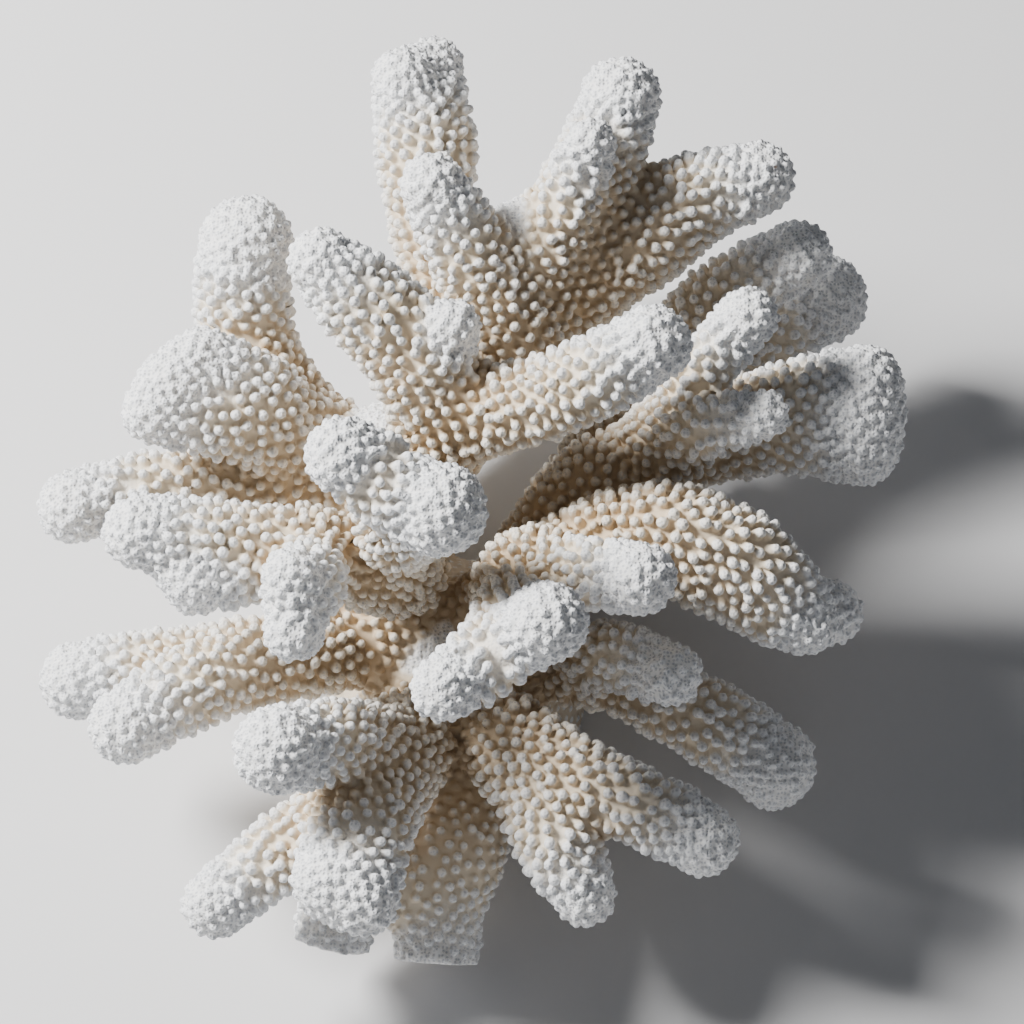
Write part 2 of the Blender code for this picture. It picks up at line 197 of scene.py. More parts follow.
# Small stains: middle and radius in mm, and colour
STAINS = (((-17.4, 34.5, 114.7), 1.5, DARK_STAIN), ((-16.2, 35.6, 113.9), 1.0, DARK_STAIN),
          ((1.0, -44.0, 99.4), 0.8, DARK_STAIN), ((39.8, 81.0, 95.5), 0.8, RUSTY_STAIN),
          ((56.0, 83.5, 88.8), 0.7, RUSTY_STAIN), ((68.0, 78.5, 89.3), 0.7, RUSTY_STAIN))

# Stage, in metres and watts: floor, soft light all round, and two lamps
FLOOR_REACH = 3.0
FLOOR_DROP = 0.0002
FLOOR_COLOUR = (0.74, 0.74, 0.75, 1.0)
FLOOR_ROUGHNESS = 0.9
AIR_COLOUR = (0.85, 0.9, 1.0, 1.0)
AIR_STRENGTH = 0.08
LIT_POINT = (0.0, 0.01, 0.06)
LAMPS = (("key", (-0.72, 0.20, 0.80), 0.30, 35.0, (1.0, 0.99, 0.97)),
         ("fill", (0.2, -0.9, 0.6), 0.9, 1.0, (0.93, 0.96, 1.0)))
VIEW_REACH = 20.0

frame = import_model()

# Limbs: node, node it forks from, spots (across, up, toward the eye, radius) from root to tip
LIMBS = [
    # Foot of the colony and the two arms either side of the gap
    ("trunk", None, [(0, -2.5, -7, 29.5), (0, 0, 0, 29.5), (0, 1.5, 14, 24.5), (-0.5, 3.5, 28, 17)]),
    ("left_arm", "trunk", [(-2.5, 3.5, 18, 15), (-13, 17, 34, 11), (-13.5, 32, 40, 11),
                           (-12.5, 43, 42, 10.5), (-15.5, 54, 40, 10)]),
    ("right_arm", "trunk", [(2, 4, 18, 15.5), (12, 18.5, 32, 11.5), (20.5, 34, 36, 11),
                            (31.5, 45, 38, 10)]),
    ("right_arm", None, [(9.5, 17, 34, 10.5), (13, 23, 54, 10), (17, 26.5, 64, 9)]),
    # Fan at the back with its four fingers
    ("back_fan", "left_arm", [(-11.5, 40.5, 40, 10.5), (-3.5, 59.5, 36, 11), (9.5, 78, 36, 12.5),
                              (22.5, 99, 38, 11.5), (33, 120, 38, 10), (36, 130.5, 38, 9)]),
    ("back_fan", None, [(19.5, 97, 44, 9), (29.5, 120.5, 52, 6)]),
    ("back_fan", None, [(13, 81.5, 38, 11), (12, 98.5, 42, 9)]),
    ("back_left_finger", "back_fan", [(8.5, 76, 30, 10), (-3.5, 94.5, 28, 10.5),
                                      (-7.5, 116.5, 28, 10.5), (-12, 134, 30, 7.5)]),
    ("back_left_finger", None, [(-4, 119, 26, 8), (-5, 137.5, 22, 7)]),
    ("back_front_finger", "back_fan", [(11.5, 80.5, 42, 11.5), (2, 99, 52, 10), (-5.5, 111, 58, 7.5)]),
    ("back_right_finger", "back_fan", [(18.5, 86, 34, 11.5), (40.5, 100, 32, 13),
                                       (50, 107.5, 32, 11), (58.5, 110, 32, 10),
                                       (66.5, 112.5, 32, 8.5)]),
    # Upper branch that splits in a Y
    ("top_branch", "left_arm", [(-11.5, 39.5, 44, 9.5), (-4, 53, 58, 11), (-2.5, 62.5, 63, 11),
                                (-12, 78, 70, 12), (-23.5, 88, 74, 10.5), (-30, 94.5, 76, 8)]),
    ("top_branch", None, [(-6, 69.5, 68, 9), (-1, 80, 76, 6.5)]),
    ("top_branch_right", "top_branch", [(-2, 60, 62, 11), (19.5, 64, 74, 10), (33.5, 70.5, 80, 10),
                                        (43, 76, 84, 9)]),
    # Webbed fan on the left
    ("left_fan", "left_arm", [(-11.5, 35, 36, 10.5), (-24.5, 49.5, 36, 11), (-36.5, 57.5, 42, 11),
                              (-47.5, 66.5, 52, 10), (-55.5, 73.5, 56, 7)]),
    ("left_fan", None, [(-41, 57, 44, 10), (-51, 60, 54, 9.5), (-67, 61, 58, 7.5)]),
    ("left_fan", None, [(-44.5, 63.5, 46, 9), (-62.5, 67.5, 58, 7.5)]),
    ("left_fan_upper", "left_fan", [(-32.5, 57, 34, 10.5), (-44, 71, 36, 11), (-48, 86, 40, 11),
                                    (-46.5, 98, 42, 11)]),
    ("left_fan_lower", "left_fan", [(-30.5, 48.5, 36, 9), (-47.5, 45, 36, 9), (-67.5, 45, 42, 8.5),
                                    (-84, 40.5, 46, 8.5)]),
    # Left crown, nearer the eye, with a lobe hanging in front
    ("left_crown", "left_arm", [(-12, 26, 50, 9), (-21.5, 28, 66, 11), (-34.5, 31, 78, 9.5),
                                (-52, 32.5, 84, 9.5), (-69.5, 35, 86, 9)]),
    ("left_crown", None, [(-41, 28.5, 80, 9), (-57.5, 24, 86, 8)]),
    ("left_crown", None, [(-31, 29, 78, 9), (-34.5, 22, 98, 7.5), (-36, 13, 99, 7)]),
    ("left_crown", None, [(-33, 23, 92, 7.5), (-36.5, 25, 101, 6.5)]),
    # Two-lobed crown in the middle, nearest the eye
    ("centre_crown", "left_arm", [(-12, 25.5, 52, 9), (-13, 35, 84, 9), (-14.5, 46, 106, 8),
                                  (-25.5, 52.5, 112, 8)]),
    ("centre_crown", None, [(-12.5, 36.5, 88, 9), (-3, 40, 112, 8.5)]),
    ("centre_crown", None, [(-24.5, 51, 110, 7.5), (-14, 43.5, 108, 9.5), (-3.5, 40, 110, 9)]),
    # Low branch on the left
    ("left_low_branch", "trunk", [(-6, 12, 22, 11.5), (-28, 9, 40, 10), (-51, 4, 54, 10),
                                  (-64, -2, 62, 10), (-72.5, -8, 66, 9)]),
    ("left_low_branch", None, [(-47.5, 6, 46, 9), (-67.5, 5, 48, 9), (-83.5, 2, 48, 9)]),
    # Front left branch with an upper finger of its own
    ("front_left_branch", "trunk", [(-3.5, -3.5, 24, 12), (-11.5, -12, 50, 12), (-19, -24, 72, 12),
                                    (-21.5, -35, 84, 11), (-21, -46, 88, 8.5)]),
    ("front_left_branch", None, [(-22.5, -27.5, 76, 10), (-29, -42, 88, 8)]),
    ("front_left_branch", None, [(-19, -24, 68, 10), (-38, -35, 72, 9), (-53, -47, 72, 8)]),
    ("front_left_upper", "front_left_branch", [(-12.5, -13, 56, 10), (-27, -11.5, 84, 10),
                                               (-39.5, -13, 98, 10)]),
    # Low front branch, broken off flat at both ends
    ("front_low_branch", "trunk", [(0, -7.5, 22, 13), (1, -29.5, 40, 12), (-3.5, -43, 46, 10.5),
                                   (-4.5, -59.5, 46, 10)]),
    ("front_low_branch", None, [(-1, -38, 44, 9), (-16, -43, 50, 9), (-26, -46.5, 53, 9.5),
                                (-28, -56, 52, 9)]),
    # Front right branch
    ("front_right_branch", "trunk", [(3, -2, 26, 12), (11.5, -12, 52, 11), (18, -22, 62, 10.5),
                                     (23, -35, 66, 10), (28, -45.5, 66, 7)]),
    ("front_right_branch", None, [(13, -13, 54, 10.5), (32.5, -22.5, 66, 9.5), (46, -28, 68, 9),
                                  (54, -33, 68, 8.5)]),
    # Low branch on the right
    ("right_low_branch", "trunk", [(7.5, 5.5, 20, 11), (22.5, 7, 36, 8.5), (40.5, 1, 40, 9),
                                   (57, -7.5, 40, 10), (69.5, -16.5, 38, 10)]),
    ("right_low_finger", "right_low_branch", [(26, 5.5, 39, 7.5), (34, 8, 60, 8.5),
                                              (46.5, 3.5, 72, 7.5)]),
    # Right crown: a long lobe in front, a finger beside it and the big arch behind
    ("right_crown_front", "right_arm", [(13, 22, 54, 9), (13, 15.5, 86, 8.5), (20.5, 15, 108, 8)]),
    ("right_crown_front", None, [(13, 17.5, 78, 8.5), (7.5, 7.5, 98, 8.5), (-3, 0.5, 106, 8)]),
    ("right_crown_front", None, [(6, 6, 100, 7.5), (19, 14.5, 107, 7.5)]),
    ("right_crown_side", "right_arm", [(16, 26, 60, 9), (29.5, 25.5, 80, 8.5), (40.5, 24.5, 90, 8.5)]),
    ("right_arch", "right_arm", [(16, 25.5, 48, 9), (31, 35.5, 58, 9), (47.5, 37, 66, 10),
                                 (64.5, 30, 66, 10), (75, 18.5, 60, 8.5), (77, 14.5, 60, 7)]),
    ("right_arch", None, [(36, 32, 60, 8.5), (51.5, 28, 64, 9), (68, 18.5, 60, 8.5),
                          (82.5, 17, 46, 7.5)]),
    # Wide fan on the right with two thin fingers in front
    ("right_fan", "right_arm", [(26, 39.5, 36, 10), (42.5, 53, 42, 10), (58, 59, 44, 9.5),
                                (74.5, 63.5, 46, 9), (90, 68, 48, 8.5)]),
    ("right_fan", None, [(51.5, 55, 42, 9.5), (73.5, 57, 44, 9), (89, 52.5, 46, 8)]),
    ("right_fan", None, [(75.5, 60.5, 46, 9), (88, 60.5, 47, 10)]),
    ("right_fan", None, [(46.5, 54.5, 50, 8.5), (56, 58.5, 66, 7.5), (67.5, 60.5, 72, 6)]),
    ("right_fan", None, [(47, 55, 46, 8.5), (53, 69.5, 60, 7.5), (64, 82, 68, 7)]),
    # Branch at the upper right, behind the fan
    ("upper_right_branch", "right_arm", [(22.5, 36.5, 26, 10), (41.5, 68, 14, 9),
                                         (58, 87.5, 18, 8.5), (74.5, 95.5, 20, 8.5)]),
    ("upper_right_branch", None, [(40.5, 65, 10, 9), (66.5, 78, -4, 9.5), (80.5, 86, -8, 10)]),
    # Low branches at the rear, out of sight from the front
    ("rear_branch", "trunk", [(-2.5, 6.5, 6, 12.5), (-11.5, 26.5, -2, 10), (-7, 53, -8, 10),
                              (10.5, 78, -16, 9.5), (22.5, 95.5, -22, 9)]),
    ("rear_branch", None, [(-2.5, 61.5, -6, 9), (-1, 79, -4, 9), (-0.5, 94, 0, 8.5)]),
    ("rear_left_branch", "trunk", [(-6, 5.5, 8, 12), (-21.5, 28.5, -4, 9.5), (-32.5, 46, -8, 9),
                                   (-42, 57.5, -10, 9)]),
    ("rear_right_branch", "trunk", [(5, 6.5, 12, 12), (22.5, 28.5, 2, 9.5), (37, 44, -6, 9),
                                    (46.5, 55, -8, 8)]),
]
BROKEN_ENDS = ("front_low_branch",)


def spot_in_world(spot):
    """Turn a spot read along the line of sight into x, y, z and radius in mm."""
    across, up, toward, radius = spot
    nearness = toward / EYE_DISTANCE
    across += (EYE_ACROSS - across) * nearness
    up += (EYE_UP - up) * nearness
    y = up * math.sin(SIGHT_RISE) - toward * math.cos(SIGHT_RISE)
    z = up * math.cos(SIGHT_RISE) + toward * math.sin(SIGHT_RISE)
    return (across, y, z, radius * (1.0 - nearness))


def smooth_run(spots):
    """Resample the spots evenly and round off their bends, keeping both ends in place."""
    corners = np.array([spot_in_world(spot) for spot in spots])
    lengths = np.linalg.norm(np.diff(corners[:, :3], axis=0), axis=1)
    along = np.concatenate(([0.0], np.cumsum(lengths)))
    count = max(int(round(along[-1] / SAMPLE_STEP)), 4) + 1
    even = np.linspace(0.0, along[-1], count)
    run = np.column_stack([np.interp(even, along, corners[:, axis]) for axis in range(4)])
    window = min(BEND_WINDOW, 2 * ((count - 1) // 2) - 1)
    half = window // 2
    head = 2.0 * run[0] - run[half:0:-1]
    tail = 2.0 * run[-1] - run[-2:-half - 2:-1]
    padded = np.vstack([head, run, tail])
    weights = np.ones(window) / window
    return np.column_stack([np.convolve(padded[:, axis], weights, "valid") for axis in range(4)])


class Limb:
    """One finger or stem: samples along its middle, in mm, and the node that owns each."""

    def __init__(self, node, parent, spots):
        self.node = node
        self.parent = parent
        run = smooth_run(spots)
        self.centres = run[:, :3]
        self.outline_radii = run[:, 3]
        self.broken = node in BROKEN_ENDS
        steps = np.linalg.norm(np.diff(self.centres, axis=0), axis=1)
        along = np.concatenate(([0.0], np.cumsum(steps)))
        self.to_tip = along[-1] - along
        tangents = np.gradient(self.centres, axis=0)
        self.tangents = tangents / np.linalg.norm(tangents, axis=1)[:, None]

    def measure(self, limbs):
        """Wart height along the limb; an end buried in another limb is not a tip."""
        tip = self.centres[-1]
        for other in limbs:
            if other.node == self.node:
                continue
            gap = (np.linalg.norm(other.centres - tip, axis=1) - other.outline_radii).min()
            if gap < -BURIED_SHARE * self.outline_radii[-1]:
                self.to_tip = self.to_tip + BURIED_END
                break
        heights = np.interp(self.to_tip, HEIGHT_PLACES, HEIGHTS)
        if self.broken:
            heights = np.minimum(heights, BROKEN_WART_HEIGHT)
        foot_shares = np.clip(self.centres[:, 2] / SMOOTH_FOOT_HEIGHT, LEAST_FOOT_SHARE, 1.0)
        self.heights = heights * foot_shares
        self.radii = self.outline_radii - BASE_SHARE * self.heights

    def divide(self, solids):
        """The samples inside this limb's own solid are its node's; the rest are its parent's."""
        self.owners = []
        for centre in self.centres:
            point = Vector(centre) * MM
            place, normal, face, distance = solids[self.node].find_nearest(point)
            own = self.parent is None or (point - place).dot(normal) < 0.0
            self.owners.append(self.node if own else self.parent)

    def past_end(self, x, y, z):
        """How far each point lies past the plane that the limb is broken off at."""
        end = self.centres[-1]
        out = self.tangents[-1]
        past = (x - end[0]) * out[0] + (y - end[1]) * out[1] + (z - end[2]) * out[2]
        return past.astype(np.float32)


class Grid:
    """A box of evenly spaced points in mm."""

    def __init__(self, low, high, step):
        self.low = np.array(low)
        self.step = step
        self.shape = tuple(np.ceil((np.array(high) - self.low) / step).astype(int) + 1)

    def window(self, low, high):
        """The part of the grid from low to high."""
        first = np.maximum(np.floor((low - self.low) / self.step).astype(int), 0)
        last = np.minimum(np.ceil((high - self.low) / self.step).astype(int) + 1, self.shape)
        return tuple(slice(a, b) for a, b in zip(first, last))

    def axes(self, window):
        """Coordinates of a window's points, one array an axis, ready to broadcast."""
        lines = [self.low[axis] + self.step * np.arange(part.start, part.stop)
                 for axis, part in enumerate(window)]
        return np.ix_(*[line.astype(np.float32) for line in lines])

    def read(self, values, points):
        """Values at points between the grid's own, blended from the eight around each."""
        spots = (points - self.low) / self.step
        corner = np.clip(spots.astype(int), 0, np.array(self.shape) - 2)
        share = np.clip(spots - corner, 0.0, 1.0)
        result = 0.0
        for i in (0, 1):
            for j in (0, 1):
                for k in (0, 1):
                    weight = (share[:, 0] if i else 1.0 - share[:, 0]) \
                        * (share[:, 1] if j else 1.0 - share[:, 1]) \
                        * (share[:, 2] if k else 1.0 - share[:, 2])
                    result = result + weight * values[corner[:, 0] + i, corner[:, 1] + j, corner[:, 2] + k]
        return result

    def nearest(self, values, points):
        """Values at the grid's own points nearest to the given ones."""
        spots = np.rint((points - self.low) / self.step).astype(int)
        spots = np.clip(spots, 0, np.array(self.shape) - 1)
        return values[spots[:, 0], spots[:, 1], spots[:, 2]]


def blend_fields(a, b, width):
    """Union of two distance fields with a rounded corner between them."""
    share = np.clip(0.5 + 0.5 * (a - b) / width, 0.0, 1.0)
    return a + (b - a) * share - width * share * (1.0 - share)


def gentle_noise(grid, step, noise):
    """Slow random rise and fall over the grid, between about -1 and 1."""
    count = [int(n * grid.step / step) + 3 for n in grid.shape]
    values = noise.uniform(-1.0, 1.0, count).astype(np.float32)
    for axis in range(3):
        place = np.arange(grid.shape[axis]) * grid.step / step
        low = place.astype(int)
        share = place - low
        share = (share * share * (3.0 - 2.0 * share)).astype(np.float32)
        shape = [1, 1, 1]
        shape[axis] = -1
        share = share.reshape(shape)
        before = np.take(values, low, axis=axis)
        after = np.take(values, low + 1, axis=axis)
        values = before + (after - before) * share
    return values


def limb_field(limb, grid):
    """Distance to one limb's smooth surface over its own window, and the nearest sample."""
    reach = limb.radii.max() + LIMB_REACH
    window = grid.window(limb.centres.min(axis=0) - reach, limb.centres.max(axis=0) + reach)
    shape = tuple(part.stop - part.start for part in window)
    best = np.full(shape, FAR_AWAY, np.float32)
    nearest = np.zeros(shape, np.int16)
    for number, (centre, radius) in enumerate(zip(limb.centres, limb.radii)):
        local = grid.window(centre - radius - LIMB_REACH, centre + radius + LIMB_REACH)
        x, y, z = grid.axes(local)
        away = np.sqrt((x - centre[0]) ** 2 + (y - centre[1]) ** 2 + (z - centre[2]) ** 2) - radius
        part = tuple(slice(a.start - b.start, a.stop - b.start) for a, b in zip(local, window))
        closer = away < best[part]
        best[part] = np.where(closer, away, best[part])
        nearest[part] = np.where(closer, number, nearest[part])
    if limb.broken:
        best = np.maximum(best, limb.past_end(*grid.axes(window)))
    return window, best, nearest


class Growth:
    """The smooth fingers on the coarse grid, and what varies along them."""

    def __init__(self, limbs, grid, noise):
        self.grid = grid
        self.field = np.full(grid.shape, FAR_AWAY, np.float32)
        self.sample = np.zeros(grid.shape, np.int32)
        closest = np.full(grid.shape, FAR_AWAY, np.float32)
        weight_sum = np.full(grid.shape, TINY, np.float32)
        tip_sum = np.zeros(grid.shape, np.float32)
        height_sum = np.zeros(grid.shape, np.float32)
        count = 0
        for limb in limbs:
            window, away, nearest = limb_field(limb, grid)
            self.field[window] = blend_fields(self.field[window], away, FILLET)
            closer = away < closest[window]
            closest[window] = np.where(closer, away, closest[window])
            self.sample[window] = np.where(closer, nearest + count, self.sample[window])
            weight = np.exp(-np.clip(away, -WEIGHT_LIMIT, WEIGHT_LIMIT)).astype(np.float32)
            weight_sum[window] += weight
            tip_sum[window] += weight * limb.to_tip.astype(np.float32)[nearest]
            height_sum[window] += weight * limb.heights.astype(np.float32)[nearest]
            count += len(limb.centres)
        self.to_tip = tip_sum / weight_sum
        self.height = height_sum / weight_sum
        self.field += BUMPY_HEIGHT * gentle_noise(grid, BUMPY_STEP, noise)
        x, y, z = grid.axes(tuple(slice(0, n) for n in grid.shape))
        self.field = np.maximum(self.field, -z)
        self.slopes = np.gradient(self.field, grid.step)
        self.shelter = self.measure_shelter()

    def measure_shelter(self):
        """Share of coral in the space around each point, from 0 outside to 1 deep within."""
        filled = (self.field < 0.0).astype(np.float32)
        width = int(SHELTER_WIDTH / self.grid.step) | 1
        for turn in range(2):
            for axis in range(3):
                empty = np.zeros_like(np.take(filled, range(width), axis=axis))
                padded = np.concatenate([empty, filled, empty], axis=axis)
                total = np.cumsum(padded, axis=axis, dtype=np.float32)
                size = self.grid.shape[axis]
                ahead = np.take(total, np.arange(size) + width + width // 2, axis=axis)
                behind = np.take(total, np.arange(size) + width - width // 2 - 1, axis=axis)
                filled = (ahead - behind) / width
        return filled


def surface_of(field, grid):
    """Corners in mm and four-sided faces of the field's zero surface."""
    edge = BAND_STEPS * grid.step
    volume = openvdb.FloatGrid(edge)
    volume.copyFromArray(np.clip(field, -edge, edge).astype(np.float32))
    corners, triangles, quads = volume.convertToPolygons(isovalue=0.0, adaptivity=0.0)
    return corners * grid.step + grid.low, quads


def scatter(points, spacings, order):
    """Numbers of points kept, taken in order, so that no two stand closer than their spacing."""
    cell = float(spacings.max())
    cells = np.floor(points / cell).astype(int)
    held = {}
    kept = []
    around = [(i, j, k) for i in (-1, 0, 1) for j in (-1, 0, 1) for k in (-1, 0, 1)]
    places = points.tolist()
    names = [tuple(row) for row in cells.tolist()]
    reach = (spacings ** 2).tolist()
    for number in order.tolist():
        x, y, z = places[number]
        i, j, k = names[number]
        limit = reach[number]
        free = True
        for di, dj, dk in around:
            for ox, oy, oz in held.get((i + di, j + dj, k + dk), ()):
                if (x - ox) ** 2 + (y - oy) ** 2 + (z - oz) ** 2 < limit:
                    free = False
                    break
            if not free:
                break
        if free:
            kept.append(number)
            held.setdefault((i, j, k), []).append((x, y, z))
    return np.array(kept)


def grow_warts(field, grid, growth, tangents, noise):
    """Raise a leaning, round-topped wart at each scattered spot."""
    spots, quads = surface_of(growth.field, growth.grid)
    spots = spots[spots[:, 2] > LOWEST_WART]
    spots = np.vstack([spots + noise.uniform(-SPOT_SHIFT, SPOT_SHIFT, spots.shape)
                       for turn in range(SPOT_COPIES)])
    to_tip = growth.grid.read(growth.to_tip, spots)
    tipness = np.clip(1.0 - to_tip / TIP_LENGTH, 0.0, 1.0)
    spacings = WART_SPACING + (WART_SPACING_AT_TIP - WART_SPACING) * tipness
    spacings = spacings * noise.uniform(*SPACING_SPREAD, len(spots))
    order = np.argsort(to_tip + noise.uniform(0.0, 1.0, len(spots)))
    kept = scatter(spots, spacings, order)
    spots = spots[kept]
    tipness = tipness[kept]
    heights = growth.grid.read(growth.height, spots)
    heights *= np.interp(growth.grid.read(growth.shelter, spots), SHELTERED_PLACES, SHELTERED_SHARES)
    normals = np.column_stack([growth.grid.read(slope, spots) for slope in growth.slopes])
    normals /= np.linalg.norm(normals, axis=1)[:, None]
    spots = spots - normals * growth.grid.read(growth.field, spots)[:, None]
    forward = tangents[growth.grid.nearest(growth.sample, spots)]
    lean = WART_LEAN * (1.0 - tipness)
    out = normals + forward * lean[:, None] + noise.normal(0.0, WART_WANDER, spots.shape)
    out /= np.linalg.norm(out, axis=1)[:, None]
    scale = noise.uniform(*SIZE_SPREAD, len(spots))
    heights = heights * noise.uniform(*HEIGHT_SPREAD, len(spots))
    for spot, normal, way, height, size, tip in zip(spots, normals, out, heights, scale, tipness):
        top_radius = WART_TOP_RADIUS * size * (1.0 - SLIMMER_AT_TIP * tip)
        foot_radius = WART_FOOT_RADIUS * size
        foot = spot - normal * WART_DEPTH
        top = spot + way * max(height - top_radius, -DEEPEST_TOP * top_radius)
        reach = foot_radius + WART_BLEND + grid.step
        window = grid.window(np.minimum(foot, top) - reach, np.maximum(foot, top) + reach)
        x, y, z = grid.axes(window)
        along = top - foot
        length = float(np.dot(along, along))
        x = x - foot[0]
        y = y - foot[1]
        z = z - foot[2]
        share = np.clip((x * along[0] + y * along[1] + z * along[2]) / length, 0.0, 1.0)
        away = np.sqrt((x - share * along[0]) ** 2 + (y - share * along[1]) ** 2
                       + (z - share * along[2]) ** 2)
        away -= foot_radius + (top_radius - foot_radius) * share
        field[window] = blend_fields(field[window], away, WART_BLEND)


def finer(values, grid, fine):
    """Coarse values read on the fine grid, whose step is half as long."""
    for axis in range(3):
        size = fine.shape[axis]
        low = np.minimum(np.arange(size) // 2, grid.shape[axis] - 1)
        high = np.minimum((np.arange(size) + 1) // 2, grid.shape[axis] - 1)
        values = 0.5 * (np.take(values, low, axis=axis) + np.take(values, high, axis=axis))
    return values


def plain_mesh(name, corners, faces):
    """Mesh of equal-sided faces, made in one go."""
    sides = faces.shape[1]
    mesh = bpy.data.meshes.new(name)
    mesh.vertices.add(len(corners))
    mesh.vertices.foreach_set("co", corners.astype(np.float32).ravel())
    mesh.loops.add(faces.size)
    mesh.loops.foreach_set("vertex_index", faces.astype(np.int32).ravel())
    mesh.polygons.add(len(faces))
    mesh.polygons.foreach_set("loop_start", np.arange(0, faces.size, sides, dtype=np.int32))
    mesh.update(calc_edges=True)
    return mesh


def thinned(corners, faces):
    """Triangles of the surface, merged where it is flattest until few enough are left."""
    mesh = plain_mesh("surface", corners, faces)
    obj = bpy.data.objects.new("surface", mesh)
    bpy.context.scene.collection.objects.link(obj)
    step = obj.modifiers.new("thin", "DECIMATE")
    step.ratio = min(MOST_TRIANGLES / (2.0 * len(faces)), 1.0)
    step.use_collapse_triangulate = True
    graph = bpy.context.evaluated_depsgraph_get()
    result = bpy.data.meshes.new_from_object(obj.evaluated_get(graph))
    bpy.data.objects.remove(obj)
    bpy.data.meshes.remove(mesh)
    corners = np.empty(len(result.vertices) * 3, np.float32)
    result.vertices.foreach_get("co", corners)
    result.calc_loop_triangles()
    triangles = np.empty(len(result.loop_triangles) * 3, np.int32)
    result.loop_triangles.foreach_get("vertices", triangles)
    bpy.data.meshes.remove(result)
    return corners.reshape(-1, 3), triangles.reshape(-1, 3)


def field_normals(field, grid, corners):
    """Unit normals of the field's surface at its corners."""
    normals = np.empty((len(corners), 3))
    for axis in range(3):
        offset = np.zeros(3)
        offset[axis] = NORMAL_STEPS * grid.step
        normals[:, axis] = grid.read(field, corners + offset) - grid.read(field, corners - offset)
    return normals / (np.linalg.norm(normals, axis=1)[:, None] + TINY)


def settled_labels(labels, triangles, corner_count, kinds):
    """Each triangle's label, taken over from its neighbours where only few around it share it."""
    for turn in range(LABEL_TURNS):
        slots = (triangles.astype(np.int64) * kinds + labels[:, None]).ravel()
        votes = np.bincount(slots, minlength=corner_count * kinds).reshape(corner_count, kinds)
        chosen = votes.argmax(axis=1)[triangles]
        agree = chosen[:, 1] == chosen[:, 2]
        labels = np.where(agree, chosen[:, 1], chosen[:, 0])
    return labels


def group_rims(rims, count):
    """Number each rim corner's loop by passing the lowest number along the rim edges."""
    loops = np.arange(count)
    while True:
        lowest = np.minimum(loops[rims[:, 0]], loops[rims[:, 1]])
        before = loops.copy()
        np.minimum.at(loops, rims[:, 0], lowest)
        np.minimum.at(loops, rims[:, 1], lowest)
        if np.array_equal(before, loops):
            return np.unique(loops, return_inverse=True)[1]


def capped(corners, depths, triangles):
    """The piece with its open rims turned inward and closed, where it meets its neighbours."""
    edges = np.vstack([triangles[:, [0, 1]], triangles[:, [1, 2]], triangles[:, [2, 0]]]).astype(np.int64)
    keys = edges.min(axis=1) * len(corners) + edges.max(axis=1)
    first, uses = np.unique(keys, return_index=True, return_counts=True)[1:]
    rims = edges[first[uses == 1]]
    if len(rims) == 0:
        return corners, triangles, np.arange(len(corners))
    rim_corners, local = np.unique(rims, return_inverse=True)
    local = local.reshape(-1, 2)
    loops = group_rims(local, len(rim_corners))
    inner = corners[rim_corners] - depths[rim_corners]
    sizes = np.bincount(loops)[:, None]
    middles = np.column_stack([np.bincount(loops, inner[:, axis]) for axis in range(3)]) / sizes
    a, b = rims[:, 0], rims[:, 1]
    a_inner = len(corners) + local[:, 0]
    b_inner = len(corners) + local[:, 1]
    middle = len(corners) + len(inner) + loops[local[:, 0]]
    new = [np.column_stack([b, a, a_inner]), np.column_stack([b, a_inner, b_inner]),
           np.column_stack([b_inner, a_inner, middle])]
    near = rim_corners[np.unique(loops, return_index=True)[1]]
    sources = np.concatenate([np.arange(len(corners)), rim_corners, near])
    return np.vstack([corners, inner, middles]), np.vstack([triangles] + new), sources


def coral_piece(name, corners, triangles, values, normals):
    """One piece of the surface, shaded with the whole surface's normals."""
    mesh = plain_mesh(name, corners * MM, triangles)
    mesh.polygons.foreach_set("use_smooth", np.ones(len(mesh.polygons), bool))
    held = mesh.color_attributes.new(name="growth", type="FLOAT_COLOR", domain="POINT")
    held.data.foreach_set("color", values.astype(np.float32).ravel())
    mesh.normals_split_custom_set_from_vertices(normals.tolist())
    piece = bpy.data.objects.new(name, mesh)
    bpy.context.scene.collection.objects.link(piece)
    return piece


